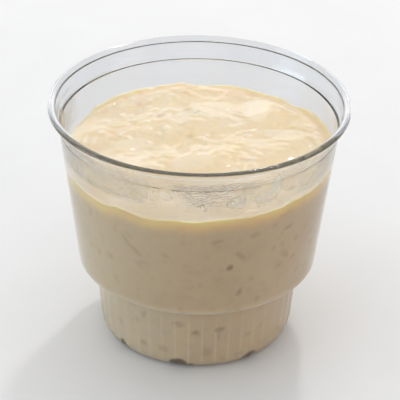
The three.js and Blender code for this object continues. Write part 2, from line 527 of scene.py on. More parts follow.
def wall_rows():
    """Heights of the rows of points on the upper wall, from the rim down."""
    high, low = LEDGE_HEIGHT + LEDGE_HALF, LEDGE_HEIGHT - LEDGE_HALF
    collar = np.arange(CUP_HEIGHT - 2 * BEAD, high, -WALL_ROW)
    ledge = np.arange(high, low, -LEDGE_ROW)
    return [float(z) for z in (*collar, *ledge, *np.arange(low, MIST_LOWEST, -WALL_ROW))]


def ring_side(depth):
    """The leaning inner side of the standing ring, that far in from the outside: its foot and its top."""
    aside = depth * (math.hypot(BASE_RECESS, RING_LEAN) - RING_LEAN) / BASE_RECESS
    foot = (RING_INNER_RADIUS + aside, depth)
    return foot, (RING_INNER_RADIUS - RING_LEAN + aside, BASE_RECESS + depth)


# How far off each corner of the outline its rounding starts
CROWN_ROUNDING = 3
RING_ROUNDING = 0.5
RING_FOOT_ROUNDING, RING_FOOT_ROUNDING_INSIDE = 0.4, 0.3
SHOULDER_ROUNDING_INNER, SHOULDER_ROUNDING_OUTER = 0.35, 0.9
FLOOR_ROUNDING = 0.5
# Rows of points up the foot, as shares of its height
FOOT_ROWS = (0.3, 0.6, 0.85)
# The foot's bottom corner and the rolled rim as arcs: from and to, and how many steps
FOOT_ARC = (-90, -4, 12)
FOOT_ARC_INSIDE = (0, -90, 10)
ROLLED_ARC = (-125, 178, 30)


def cup_outside():
    """The outline of the cup's outside, from the middle of the underside up to the rolled rim."""
    underside = SHOULDER_HEIGHT - SHOULDER_CORNER
    ring_foot, ring_top = ring_side(0)
    return softened(
        [
            (0, BASE_RECESS + BASE_CROWN),
            (BASE_CROWN_RADIUS, BASE_RECESS + BASE_CROWN, CROWN_ROUNDING),
            (*ring_top, RING_ROUNDING),
            (*ring_foot, RING_FOOT_ROUNDING),
            *arc(RING_OUTER_RADIUS, FOOT_CORNER, FOOT_CORNER, *FOOT_ARC),
            *[(mix(FOOT_BOTTOM_RADIUS, FOOT_TOP_RADIUS, s), mix(0, underside, s)) for s in FOOT_ROWS],
            (FOOT_TOP_RADIUS, underside, SHOULDER_ROUNDING_INNER),
            (SHOULDER_RADIUS, underside, SHOULDER_ROUNDING_OUTER),
            *[(float(collar_outside(height)), height) for height in reversed(wall_rows())],
        ]
    )


def cup_rim():
    """The rolled rim: the wall curls out and under until it closes on the collar."""
    return arc(RIM_RADIUS - BEAD, CUP_HEIGHT - BEAD, BEAD, *ROLLED_ARC)


def cup_inside():
    """The outline of the cup's inside, from the collar down to the middle of the floor."""
    floor = SHOULDER_HEIGHT - SHOULDER_CORNER + WALL
    ring_foot, ring_top = ring_side(FOOT_WALL)
    floor_middle = BASE_RECESS + FOOT_WALL + BASE_CROWN
    return softened(
        [
            *[(float(collar_inside(height)), height) for height in wall_rows()],
            (wall_inside(floor), floor, FLOOR_ROUNDING),
            (foot_inside(floor), floor, FLOOR_ROUNDING),
            *arc(RING_OUTER_RADIUS, FOOT_CORNER, FOOT_CORNER - FOOT_WALL, *FOOT_ARC_INSIDE),
            (*ring_foot, RING_FOOT_ROUNDING_INSIDE),
            (*ring_top, RING_ROUNDING),
            (BASE_CROWN_RADIUS, floor_middle, CROWN_ROUNDING),
            (0, floor_middle),
        ]
    )


# Where the inside is misted: bearings from and to, heights from and to, and how strongly
MISTED = (
    (-172, -106, 67.4, 77.5, 1.0),
    (-104, -62, 68.6, 77.0, 0.85),
    (-66, -15, 65.0, 77.0, 0.35),
    (150, 192, 66.0, 78.0, 0.3),
)
# How softly mist ends: in degrees at its sides, and in height at its foot and its top
MIST_FADE = 9
MIST_FOOT, MIST_TOP = 1.5, 1


def mist_on_wall(turn, height):
    """How misted the inside of the wall is, from 0 to 1."""
    place = round_place(WALL_TOP_RADIUS, turn, height)
    mist = np.zeros(place.shape[:-1])
    for start, end, low, high, strength in MISTED:
        up = rise_and_fall(height, low - MIST_FOOT, low + MIST_FOOT, high - MIST_TOP, high + MIST_TOP)
        mist = np.maximum(mist, strength * stretch(turn, start, end, MIST_FADE) * up)
    return np.clip(mist * (0.8 + 0.45 * cloud(place, 7.0, 71) + 0.3 * cloud(place, 2.6, 72)), 0, 1)


# Sides of a flute as shares of its width, closer at the rib between two flutes
FLUTE_SIDES = (-0.052, -0.024, 0.0, 0.024, 0.052, 0.15, 0.32, 0.5, 0.68, 0.85)
# The height at which a flute is as deep as it should be
FLUTE_START = 1.2
RIB_HEIGHT = 0.12
RIB_SHARE = 0.032
# Where a rib starts and is full, and where it fades and ends
RIB_REACH = (1.0, 3.0, 19.0, 25.0)
# A small chip in the rolled rim
CHIP_BEARING = -60.5
CHIP_HALF = 0.8
CHIP_DEPTH = 0.3


def cup_shape():
    """The cup, fluted on its foot, and for each point how misted it is and how far on the rolled rim."""
    outside, rim = cup_outside(), cup_rim()
    path = np.array(outside + rim + cup_inside())
    turn, share = flute_turns(FLUTE_SIDES)
    radius = path[1:-1, 0, None]
    height = path[1:-1, 1, None]
    row = np.arange(len(radius))[:, None]
    on_foot = (row < len(outside) - 1) & (radius > RING_OUTER_RADIUS)
    on_foot = on_foot & (height < SHOULDER_HEIGHT - 2 * SHOULDER_CORNER)
    depth = mix(FLUTE_DEPTH_BOTTOM, FLUTE_DEPTH_TOP, height / SHOULDER_HEIGHT)
    hollow = depth * ramp(0, FLUTE_START, height) * np.sin(math.pi * np.clip(share, 0, 1))
    rib = RIB_HEIGHT * bell(share, RIB_SHARE) * rise_and_fall(height, *RIB_REACH)
    radius = radius + np.where(on_foot, rib - hollow, 0)
    chip = CHIP_DEPTH * bell(away(turn, CHIP_BEARING), CHIP_HALF)
    on_bead = ramp(CUP_HEIGHT - BEAD, CUP_HEIGHT, height)
    rings = round_place(radius, turn, height - chip * on_bead)
    inside = row >= len(outside) + len(rim) - 1
    mist = np.where(inside, mist_on_wall(turn, height), 0)
    on_rim = (row >= len(outside) - 1) & ~inside
    rolled = np.where(on_rim, ramp(CUP_HEIGHT - 2 * BEAD, CUP_HEIGHT - BEAD, height), 0)
    rolled = np.broadcast_to(rolled, mist.shape)
    shape = closed_skin((0, 0, path[0, 1]), rings, (0, 0, path[-1, 1]))
    return shape, {"mist": between_ends(mist), "rolled": between_ends(rolled)}


# ---------------------------------------------------------------- grains


DRAW_FACTOR, DRAW_STEP, DRAW_SPAN = 1664525, 1013904223, 2**32


def seeded_draw(seed):
    """The same repeatable draw that places the solid's grains."""
    state = seed
    while True:
        state = (state * DRAW_FACTOR + DRAW_STEP) % DRAW_SPAN
        yield state / DRAW_SPAN


def standing_grains():
    """The grains that stand out of the surface, where the solid has them."""
    draw = seeded_draw(GRAIN_SEED)
    reach = wall_inside(FILL_HEIGHT) - GRAIN_MARGIN
    grains = []
    for _ in range(GRAIN_TRIES):
        out = math.sqrt(next(draw)) * reach
        turn = next(draw) * TURN
        x, y = out * math.cos(turn), out * math.sin(turn)
        length = GRAIN_LENGTH * (1 + GRAIN_SPREAD * (2 * next(draw) - 1))
        heading = next(draw) * math.pi
        tilt = math.radians(GRAIN_TILT) * (2 * next(draw) - 1)
        half = np.array([math.cos(heading), math.sin(heading)]) * length / 2
        ends = np.hypot(x + half[0], y + half[1]), np.hypot(x - half[0], y - half[1])
        if max(ends) >= reach - GRAIN_WIDTH / 2:
            continue
        if all(math.hypot(x - g["x"], y - g["y"]) > GRAIN_SPACING for g in grains):
            grains.append({"x": x, "y": y, "length": length, "heading": heading, "tilt": tilt})
    return grains


SUNKEN_SPACING = 3.0
SUNKEN_MARGIN = 1.5
SUNKEN_TRIES = 5000
SUNKEN_LIFTS = (0.05, 0.45)
# Lengths as shares of a whole grain's
SUNKEN_LENGTHS = (0.4, 1.05)


def sunken_grains():
    """Grains and broken bits just under the surface, which only lift the cream."""
    draw = draws(9)
    reach = wall_inside(FILL_HEIGHT) - SUNKEN_MARGIN
    grains = []
    for _ in range(SUNKEN_TRIES):
        out = math.sqrt(draw.random()) * reach
        turn = draw.random() * TURN
        x, y = out * math.cos(turn), out * math.sin(turn)
        lift = draw.uniform(*SUNKEN_LIFTS)
        length = GRAIN_LENGTH * draw.uniform(*SUNKEN_LENGTHS)
        heading = draw.random() * math.pi
        if all(math.hypot(x - g["x"], y - g["y"]) > SUNKEN_SPACING for g in grains):
            grains.append({"x": x, "y": y, "length": length, "heading": heading, "lift": lift})
    return grains


# Where rice shows most: middle x and y, and half size
CLUSTERS = (
    (-27, 12, 6),
    (-21, 18, 5),
    (-11, 22, 6),
    (-2, 19, 5),
    (11, 20, 6),
    (14, 10, 5),
    (35, 5, 5),
    (-13, 9, 5),
    (-11, -8, 4),
    (3, 2, 5),
    (14, -9, 5),
    (-17, 33, 6),
    (-5, 37, 5),
    (-36, 2, 4),
)
LEAST_BARE = 0.15
# Past this, a grain lifts nothing
LIFT_REACH = 6


def bareness(x, y):
    """How far the rice stands clear of the cream at a place: 0 is covered and 1 is bare."""
    shows = np.full(np.shape(x), LEAST_BARE)
    for middle_x, middle_y, half in CLUSTERS:
        shows = np.maximum(shows, bell(np.hypot(x - middle_x, y - middle_y), half))
    return shows


def cream_over(grains, x, y, cover):
    """How far grains lift the cream over them."""
    raised = np.zeros_like(x)
    for grain in grains:
        dx, dy = x - grain["x"], y - grain["y"]
        near = (np.abs(dx) < LIFT_REACH) & (np.abs(dy) < LIFT_REACH)
        along, across = turned(dx[near], dy[near], grain["heading"])
        along, across = along / (grain["length"] / 2 * cover), across / (GRAIN_WIDTH / 2 * cover)
        dome = np.clip(1 - along**2 - across**2, 0, 1) ** 2
        raised[near] = np.hypot(raised[near], dome * grain["lift"])
    return raised


GRAIN_SIDES, GRAIN_BANDS = 12, 9
GRAIN_BLUNTNESS = 2.5
# How far a bent grain's middle lies to one side of its line, as a share of the bend
BEND_MIDDLE = 0.4


def grain_skin(length, width, thickness, bend):
    """One grain of boiled rice along X: blunt ends, a slight bend, and flatter than it is wide."""
    along = -np.cos(np.linspace(0, math.pi, GRAIN_BANDS + 1))[1:-1, None]
    girth = (1 - np.abs(along) ** GRAIN_BLUNTNESS) ** 0.5
    turn = np.arange(GRAIN_SIDES) / GRAIN_SIDES * TURN
    x = np.repeat(along * length / 2, GRAIN_SIDES, 1)
    y = girth * np.cos(turn) * width / 2 + bend * (along**2 - BEND_MIDDLE)
    z = girth * np.sin(turn) * thickness / 2
    end = bend * (1 - BEND_MIDDLE)
    return closed_skin((-length / 2, end, 0), np.stack([x, y, z], -1), (length / 2, end, 0))


# ---------------------------------------------------------------- the pudding's surface


def bare_surface(x, y):
    """The surface that the solid has, without its grains."""
    reach = wall_inside(FILL_HEIGHT)
    out = np.hypot(x, y) / reach
    uphill = turned(x, y, math.radians(SURFACE_TILT_HEADING))[0]
    height = FILL_HEIGHT + SURFACE_TILT * uphill / reach + SURFACE_CROWN * (1 - out**2)
    for rise, length, heading, shift in SURFACE_WAVES:
        along = turned(x, y, math.radians(heading))[0]
        height = height + rise * np.sin(TURN * along / length + math.radians(shift))
    return height


# Smooth pale patches where cream set over the rice: middle x and y, half sizes, heading, rise, paleness
PALE_PATCHES = (
    (19.0, 25.0, 4.6, 8.5, -12, 0.25, 0.45),
    (-1.5, -9.0, 6.5, 5.5, 0, 0.2, 0.4),
    (-20.0, 3.0, 6.5, 3.2, 20, 0.15, 0.4),
    (-20.0, 32.0, 9.0, 2.2, 28, 0.3, 0.6),
    (28.0, 8.0, 7.0, 3.5, -25, 0.2, 0.35),
    (8.0, -19.0, 9.0, 4.0, 15, 0.15, 0.3),
)
# Folds where the skin of the cream slid: start and end in x and y, and step
FOLDS = (
    (7.0, 2.0, 23.0, -1.6, 0.15),
    (29.0, 14.5, 38.0, 9.5, 0.3),
    (-12.0, -2.0, -8.0, -11.0, 0.12),
)
# Tips of grains that stand wet and pale through the cream in each cluster, just steep enough to glint;
# their paleness is partly the rice's own colour and partly a painted highlight
TIPS_EACH = 5
TIP_SMALL, TIP_LARGE = 0.7, 1.1
TIP_SLOPE = 0.33
# Dimples where whey gathers: x, y, half size and depth
DIMPLES = (
    (-2.9, 6.2, 1.3, 0.15),
    (-19.6, 30.2, 1.5, 0.2),
    (-1.8, 21.8, 1.5, 0.2),
    (-4.0, 24.5, 1.4, 0.2),
    (5.0, 26.1, 1.3, 0.15),
)
DIMPLE_BROWN = 0.25
# Where the cream stands up or sinks at the wall: bearing in degrees, half width and rise
EDGE_RISES = (
    (-88, 9, 0.8),
    (-47, 6, 0.7),
    (128, 18, 1.2),
    (13, 11, 1.2),
    (43, 9, -1.2),
    (166, 11, -0.9),
    (-112, 12, -0.7),
    (-155, 9, -0.6),
)


def wet_tips():
    """The x, y and half size of the tips, scattered over each cluster."""
    draw = draws(12)
    tips = []
    for middle_x, middle_y, half in CLUSTERS:
        for _ in range(TIPS_EACH):
            x, y = middle_x + draw.uniform(-half, half), middle_y + draw.uniform(-half, half)
            tips.append((x, y, draw.uniform(TIP_SMALL, TIP_LARGE)))
    return tips


def patch_cover(x, y, middle_x, middle_y, half_x, half_y, heading):
    """How far a ragged patch covers a place, from 0 to 1."""
    along, across = turned(x - middle_x, y - middle_y, math.radians(heading))
    ragged = 0.35 * cloud(plan(x, y), 5.0, 7) + 0.2 * cloud(plan(x, y), 2.2, 8)
    return ramp(1.45, 0.65, (along / half_x) ** 2 + (across / half_y) ** 2 + ragged)


# Along a fold, as shares of its length, and across it: where it starts and is full, fades and ends
FOLD_ALONG = (-0.1, 0.15, 0.8, 1.1)
FOLD_ACROSS = (-0.6, 0.6, 0.7, 6.0)
FOLD_WANDER = 0.9


def fold_step(x, y, start_x, start_y, end_x, end_y, rise):
    """A low step along a line, dying away at its ends and behind it."""
    length = math.hypot(end_x - start_x, end_y - start_y)
    ux, uy = (end_x - start_x) / length, (end_y - start_y) / length
    dx, dy = x - start_x, y - start_y
    along = (dx * ux + dy * uy) / length
    across = dy * ux - dx * uy + FOLD_WANDER * cloud(plan(x, y), 5.0, 19)
    return rise * rise_and_fall(along, *FOLD_ALONG) * rise_and_fall(across, *FOLD_ACROSS)


# How far out from the wall the clinging film reaches, and the rises and dips at the edge
CLING_REACH, RISE_REACH = 0.6, 2.2
# A lip and the groove inside it: bearing and half width, the lip's rise and reach, and the groove's depth,
# how far in it is and its half width
LIP = (38, 26, 0.6, 0.5, 0.4, 1.6, 1.2)


def clinging(x, y):
    """Cream that clings to the wall, standing above or below the surface there."""
    out = np.clip(wall_inside(FILL_HEIGHT) - np.hypot(x, y), 0, None)
    turn = np.arctan2(y, x)
    edge = round_place(40, turn, 0)
    film = 0.35 + 0.35 * cloud(edge, 8.0, 3) + 0.25 * cloud(edge, 3.0, 4)
    height = film * np.exp(-out / CLING_REACH)
    for bearing, half, rise in EDGE_RISES:
        height = height + rise * bell(away(turn, bearing), half) * np.exp(-out / RISE_REACH)
    bearing, half, rise, reach, depth, groove, groove_half = LIP
    lip = rise * np.exp(-out / reach) - depth * bell(out - groove, groove_half)
    return height + bell(away(turn, bearing), half) * lip


# How widely cream spreads over standing and sunken grains, as shares of their size
OVER_STANDING, OVER_SUNKEN = 1.6, 1.5
# How much of a lump shows where rice is covered, and where it is bare
LUMPS_COVERED, LUMPS_BARE = 0.3, 0.75
# How pale cream over bare lumps is, and the tips: the tips' paleness is partly rice colour, partly painted
# highlight
LUMPS_PALE, TIPS_PALE_AND_HIGHLIGHT = 0.5, 0.8
# How much of the lumps, and of the fine roughness, a pale patch smooths away
LUMPS_SMOOTHED, ROUGH_SMOOTHED = 0.8, 0.6
CRUMBED = 0.6


def dressed_surface(x, y, standing, sunken):
    """The height of the surface, how pale it is (at the wet tips partly a painted highlight), how crumbed
    with rice and how brown.
    """
    place = plan(x, y)
    height = bare_surface(x, y)
    covered = np.zeros_like(x)
    pale_and_glow = np.zeros_like(x)
    for *outline, rise, paleness in PALE_PATCHES:
        cover = patch_cover(x, y, *outline)
        covered = np.maximum(covered, cover)
        pale_and_glow = np.maximum(pale_and_glow, cover * paleness)
        height = height + cover * rise
    lumps = np.hypot(cream_over(standing, x, y, OVER_STANDING), cream_over(sunken, x, y, OVER_SUNKEN))
    shows = bareness(x, y)
    height = height + lumps * (1 - LUMPS_SMOOTHED * covered) * mix(LUMPS_COVERED, LUMPS_BARE, shows)
    pale_and_glow = np.maximum(pale_and_glow, LUMPS_PALE * shows * ramp(0.2, 0.8, lumps))
    for fold in FOLDS:
        height = height + fold_step(x, y, *fold)
    brown = np.zeros_like(x)
    for dimple_x, dimple_y, half, depth in DIMPLES:
        dimple = bell(np.hypot(x - dimple_x, y - dimple_y), half)
        height = height - depth * dimple
        brown = np.maximum(brown, DIMPLE_BROWN * dimple)
    crumbs = CRUMBED * shows * (1 - covered)
    for tip_x, tip_y, half in wet_tips():
        tip = bell(np.hypot(x - tip_x, y - tip_y), half)
        height = height + TIP_SLOPE * half * tip
        # Painted highlight, partly the rice's own whiter colour: the tips are coloured pale
        pale_and_glow = np.maximum(pale_and_glow, TIPS_PALE_AND_HIGHLIGHT * tip)
    rough = 0.06 * cloud(place, 4.5, 11) + mix(0.02, 0.07, shows) * cloud(place, 1.9, 12)
    return height + rough * (1 - ROUGH_SMOOTHED * covered) + clinging(x, y), pale_and_glow, crumbs, brown


# Painted shade for hollows left by air at the foot's bottom corner, drawn as darker cream with no gap:
# bearing, half width in degrees, height and strength
POCKET_SHADES = (
    (-100.5, 6.5, 3.4, 1.0),
    (-92.4, 2.2, 1.8, 0.8),
    (-55.2, 5.5, 3.2, 0.9),
    (-139.5, 3.8, 3.4, 0.9),
    (64.0, 4.0, 2.8, 0.8),
    (150.0, 6.0, 2.4, 0.8),
)
# Painted shade along stretches of the bottom corner that the cream barely reached: from and to in degrees,
# height and strength
THIN_EDGE_SHADES = ((-165, -104, 0.8, 0.5), (-92, -60, 0.5, 0.4))
THIN_FADE, THIN_SOFTNESS = 8, 0.3


def painted_pocket_shade(turn, height):
    """Painted shade at the foot's bottom corner, from 0 to 1: darker cream where air hollows would show
    dark. The cream itself keeps to the wall.
    """
    above = height - FOOT_WALL
    ragged = 0.28 * cloud(round_place(30.0, turn, height), 1.5, 23)
    shows = np.zeros_like(height)
    for bearing, half, reach, strength in POCKET_SHADES:
        inside = ramp(1.3, 0.7, oval(turn, above, bearing, 0, half, reach) + ragged)
        shows = np.maximum(shows, strength * inside)
    for start, end, reach, strength in THIN_EDGE_SHADES:
        low = ramp(reach + THIN_SOFTNESS, reach - THIN_SOFTNESS, above + ragged)
        shows = np.maximum(shows, strength * stretch(turn, start, end, THIN_FADE) * low)
    return shows


# Rice pressed on the wall that shows most: bearing, height, length, width, heading and how dark
PRESSED = (
    (-121.6, 51.8, 6.0, 1.5, -55, 0.25),
    (-117.0, 48.9, 5.4, 1.5, -38, 0.25),
    (-114.6, 44.9, 4.4, 1.5, 10, 0.2),
    (-75.5, 45.1, 2.4, 1.9, 0, 0.85),
    (-70.3, 34.9, 3.0, 1.9, 55, 0.5),
    (-48.8, 55.2, 4.8, 1.5, 8, 0.4),
    (-71.0, 49.0, 4.2, 1.8, -50, 0.35),
    (-48.0, 44.6, 4.2, 1.9, -45, 0.35),
    (-81.5, 55.5, 3.4, 1.7, 10, 0.3),
    (-89.3, 15.4, 2.9, 1.9, 15, 0.5),
    (-75.7, 16.4, 3.1, 1.9, 5, 0.45),
    (-99.2, 18.5, 4.0, 2.0, 0, 0.3),
    (-122.3, 7.4, 2.8, 2.6, 0, 0.3),
    (-108.9, 7.5, 3.0, 3.0, 0, 0.25),
    (-83.3, 7.3, 3.2, 2.8, 0, 0.25),
)
# And elsewhere: how many, from and to in height, length and width, and how dark
SCATTERED = 260
SCATTERED_HEIGHTS = (4, FILL_HEIGHT - 3.0)
SCATTERED_LENGTHS = (1.6, 4.2)
SCATTERED_WIDTHS = (1.2, 2.0)
SCATTERED_DARK = (0.05, 0.25)


def scattered_rice():
    """Rice pressed on the wall elsewhere, small, faint and uneven."""
    draw = draws(31)
    rows = []
    for _ in range(SCATTERED):
        bearing = draw.uniform(-180, 180)
        height = draw.uniform(*SCATTERED_HEIGHTS)
        length = draw.uniform(*SCATTERED_LENGTHS)
        width = draw.uniform(*SCATTERED_WIDTHS)
        dark = mix(*SCATTERED_DARK, draw.random() ** 2)
        rows.append((bearing, height, length, width, draw.uniform(0, 180), dark))
    return rows


def rice_on_wall(points):
    """How far rice shows through the cream at points of the pudding's side, from 0 to 1."""
    turn = np.arctan2(points[..., 1], points[..., 0])
    radius = np.hypot(points[..., 0], points[..., 1])
    ragged = 0.7 * cloud(points, 1.3, 33)
    shows = np.zeros(points.shape[:-1])
    for bearing, middle, length, width, heading, dark in (*PRESSED, *scattered_rice()):
        off = np.radians(away(turn, bearing)) * radius
        up = points[..., 2] - middle
        near = (np.abs(off) < length) & (np.abs(up) < length)
        along, across = turned(off[near], up[near], math.radians(heading))
        spread = (along / (length / 2)) ** 2 + (across / (width / 2)) ** 2
        blot = dark * ramp(1.7, 0.2, spread + ragged[near])
        shows[near] = np.maximum(shows[near], blot)
    return shows


# Sides of the pudding as shares of a flute's width
CREAM_SIDES = (-0.035, 0.0, 0.035, 0.14, 0.25, 0.36, 0.47, 0.58, 0.7, 0.83)
# How far the cream reaches into the wall, and into the shoulder under it
WALL_BITE = 0.15
SHOULDER_BITE = 0.4
# How far in from the foot's outside the cream ends, its radius at the surface, and how high its underside
# is at its middle and over the shoulder
CREAM_DEPTH = FOOT_WALL - WALL_BITE
CREAM_EDGE = wall_inside(FILL_HEIGHT) + WALL_BITE
CREAM_FLOOR = BASE_RECESS + CREAM_DEPTH + BASE_CROWN
CREAM_SHOULDER = SHOULDER_HEIGHT - SHOULDER_CORNER + WALL - SHOULDER_BITE
# Rings of points: round the foot's bottom corner, up the foot, up the side and over the surface
CORNER_RINGS = 11
FOOT_RINGS = 28
SIDE_RINGS = 60
SURFACE_RINGS = 96
# How far the rings up the foot keep from its bottom corner and from the shoulder
FOOT_CLEAR = 0.5
# The rings over the shoulder: how far out from the foot, how far in from the wall, and how high at the wall
STEP_OUT, STEP_IN, STEP_UP = 0.4, 0.6, 0.25
# The lowest ring of the side, as a share of the way up
SIDE_START = 0.02
# How far the rings over the surface keep from its edge and from its middle
EDGE_CLEAR, MIDDLE_CLEAR = 0.3, 0.4
# Painted highlight at the ribs: the cream is coloured paler in thin lines, standing in for light that the
# plastic ribs catch. Half a rib's width as a share of a flute's, and the heights at which the glow starts,
# is full, fades and ends
RIB_PAINTED_GLOW = 0.6
RIB_PAINTED_GLOW_HALF = 0.03
RIB_PAINTED_GLOW_REACH = (2.0, 4.0, 18.0, 24.0)
# Painted highlight over the shoulder: a paler line of cream standing in for light caught by the plastic's
# rounded edge there; how high above it, and half the glow's height
SHOULDER_PAINTED_HIGHLIGHT = 0.6
SHOULDER_HIGHLIGHT_RISE, SHOULDER_HIGHLIGHT_HALF = 0.6, 1.1
# Painted light in the foot: paler cream that lifts the shade under the shoulder; the heights at which that
# ends, and under which it is full
FOOT_PAINTED_LIGHT = 0.35
FOOT_PAINTED_LIGHT_END, FOOT_PAINTED_LIGHT_FULL = 25.0, 20.0
# Painted glow band: yellower, lighter cream under the surface's edge, standing in for light that enters
# through the lit top and comes out at the side
GLOW_BAND_MIDDLE = 1.6
GLOW_BAND_HALF = 2.4
GLOW_BAND_STRENGTH = 0.9


def rings_round(outline, turn):
    """Rings of points from an outline of radius and height."""
    outline = np.array(outline)
    return round_place(outline[:, :1], turn, outline[:, 1:])


def cream_in_foot(turn):
    """The cream's rings over the floor of the cup, and those up its foot."""
    ring_foot, ring_top = ring_side(CREAM_DEPTH)
    floor = [(BASE_CROWN_RADIUS / 2, CREAM_FLOOR), (BASE_CROWN_RADIUS, CREAM_FLOOR), ring_top, ring_foot]
    corner = arc(RING_OUTER_RADIUS, FOOT_CORNER, FOOT_CORNER - CREAM_DEPTH, -90, 0, CORNER_RINGS - 1)
    heights = np.linspace(FOOT_CORNER + FOOT_CLEAR, CREAM_SHOULDER - FOOT_CLEAR, FOOT_RINGS)
    foot = [(foot_inside(height) + WALL_BITE, height) for height in heights]
    return rings_round(floor, turn), rings_round([*corner, *foot], turn)


def cream_up_side(turn, edge_height):
    """The cream's rings over the shoulder and up the wall to the edge of the surface."""
    foot, wall = foot_inside(CREAM_SHOULDER), wall_inside(CREAM_SHOULDER)
    step = [
        (foot + STEP_OUT, CREAM_SHOULDER),
        (wall - STEP_IN, CREAM_SHOULDER),
        (wall, CREAM_SHOULDER + STEP_UP),
    ]
    height = mix(CREAM_SHOULDER, edge_height, np.linspace(SIDE_START, 1, SIDE_RINGS)[:, None])
    side = round_place(wall_inside(height) + WALL_BITE, turn, height)
    return np.concatenate([rings_round(step, turn), side])


def cream_at_wall(rings, share, edge_height):
    """The measures of the cream where it is seen through the wall."""
    height = rings[..., 2]
    uneven = 1 + 0.6 * cloud(rings, 9.0, 64)
    # Painted light: paler lines at the ribs and over the shoulder, and a paler foot
    painted_glow = RIB_PAINTED_GLOW * uneven * bell(share, RIB_PAINTED_GLOW_HALF) * rise_and_fall(height, *RIB_PAINTED_GLOW_REACH)
    painted_glow = painted_glow + SHOULDER_PAINTED_HIGHLIGHT * bell(height - CREAM_SHOULDER - SHOULDER_HIGHLIGHT_RISE, SHOULDER_HIGHLIGHT_HALF)
    painted_glow = painted_glow + FOOT_PAINTED_LIGHT * ramp(FOOT_PAINTED_LIGHT_END, FOOT_PAINTED_LIGHT_FULL, height)
    below = np.clip(edge_height - height, 0, None)
    ragged = 1 + 0.25 * cloud(rings, 7.0, 61) + 0.2 * cloud(rings, 2.5, 62)
    # Painted glow band under the surface's edge
    painted_glow_band = GLOW_BAND_STRENGTH * ragged * bell(below - GLOW_BAND_MIDDLE, GLOW_BAND_HALF) * ramp(-0.5, 1.0, below)
    return {
        "pale_and_glow": painted_glow,
        "painted_glow_band": painted_glow_band,
        "whey": np.ones_like(height),
        "crumbs": np.zeros_like(height),
        "hollow": np.zeros_like(height),
        "rice": rice_on_wall(rings),
    }


def pudding_shape(standing, sunken):
    """The pudding, biting just into the wall all round so that no air shows between."""
    turn, share = flute_turns(CREAM_SIDES)
    edge_x, edge_y = CREAM_EDGE * np.cos(turn), CREAM_EDGE * np.sin(turn)
    edge_height = dressed_surface(edge_x, edge_y, standing, sunken)[0]
    floor, foot = cream_in_foot(turn)
    side = cream_up_side(turn, edge_height)

    out = np.linspace(CREAM_EDGE - EDGE_CLEAR, MIDDLE_CLEAR, SURFACE_RINGS)[:, None]
    x, y = out * np.cos(turn), out * np.sin(turn)
    height, pale_and_glow, crumbs, brown = dressed_surface(x, y, standing, sunken)
    rings = np.concatenate([floor, foot, side, np.stack([x, y, height], -1)])
    middle = np.zeros(1)
    middle_height = dressed_surface(middle, middle, standing, sunken)[0]
    shape = closed_skin((0, 0, CREAM_FLOOR), rings, (0, 0, middle_height[0]))

    measures = cream_at_wall(rings, share, edge_height)
    # Painted shade for air hollows at the foot's bottom corner
    measures["hollow"][len(floor) : len(floor) + len(foot)] = painted_pocket_shade(turn, foot[..., 2])
    on_surface = {"pale_and_glow": pale_and_glow, "painted_glow_band": 0, "whey": 0, "crumbs": crumbs, "rice": brown}
    for name, values in on_surface.items():
        measures[name][-SURFACE_RINGS:] = values
    return shape, {name: between_ends(np.clip(values, 0, 1)) for name, values in measures.items()}


# How grains differ: in width, as shares of the usual one, in bend and in roll
GRAIN_WIDTHS = (0.85, 1.05)
GRAIN_BENDS = (-0.5, 0.5)
GRAIN_ROLLS = (-0.4, 0.4)
# How much deeper a grain lies than the solid's where it is covered, and where it is bare
DEEPER_COVERED, DEEPER_BARE = 1.2, 0.35
# How much a grain tilts, as a share of the solid's
TILT_SHARE = 0.5


def surface_grains(standing):
    """The standing grains themselves, their backs just through the cream where they lie bare."""
    draw = draws(5)
    shapes = []
    for grain in standing:
        x, y = grain["x"], grain["y"]
        width = GRAIN_WIDTH * draw.uniform(*GRAIN_WIDTHS)
        bend = draw.uniform(*GRAIN_BENDS)
        roll = draw.uniform(*GRAIN_ROLLS)
        sink = GRAIN_SINK + mix(DEEPER_COVERED, DEEPER_BARE, float(bareness(x, y)))
        lie = (
            Matrix.Translation((x, y, float(bare_surface(x, y)) - sink))
            @ Matrix.Rotation(grain["heading"], 4, "Z")
            @ Matrix.Rotation(TILT_SHARE * grain["tilt"], 4, "Y")
            @ Matrix.Rotation(roll, 4, "X")
        )
        thickness = GRAIN_WIDTH * GRAIN_FLATNESS
        shapes.append(placed(grain_skin(grain["length"], width, thickness, bend), lie))
    return joined(shapes)


# ---------------------------------------------------------------- what is left on the wall

# How far a drop's foot sinks into the wall, and how far its lip stands out of it
DROP_SINK = 0.06
DROP_LIP = 0.02
# Drops smaller than this have fewer sides
SMALL_DROP = 0.5
SMALL_SIDES, LARGE_SIDES = 9, 14


def drop_of_water(draw, turn, height, size):
    """A drop on the inside wall: a low dome whose foot sinks into the wall."""
    sides = SMALL_SIDES if size < SMALL_DROP else LARGE_SIDES
    around = np.arange(sides) / sides * TURN
    shifts = draw.random(2) * TURN
    outline = 1 + 0.22 * np.sin(2 * around + shifts[0]) + 0.12 * np.sin(3 * around + shifts[1])
    # How far out, as a share of the size, and how high
    profile = ((1.0, -DROP_SINK), (0.97, DROP_LIP), (0.72, 0.17 * size), (0.36, 0.26 * size))
    rings = []
    for share, rise in profile:
        across = outline * size * share
        rings.append(np.stack([np.full(sides, rise), across * np.cos(around), across * np.sin(around)], -1))
    drop = closed_skin((-DROP_SINK, 0, 0), np.array(rings), (0.28 * size, 0, 0))
    on_wall = Matrix.Rotation(turn, 4, "Z") @ Matrix.Translation((float(collar_inside(height)), 0, height))
    return placed(drop, on_wall @ Matrix.Rotation(math.pi, 4, "Z"))


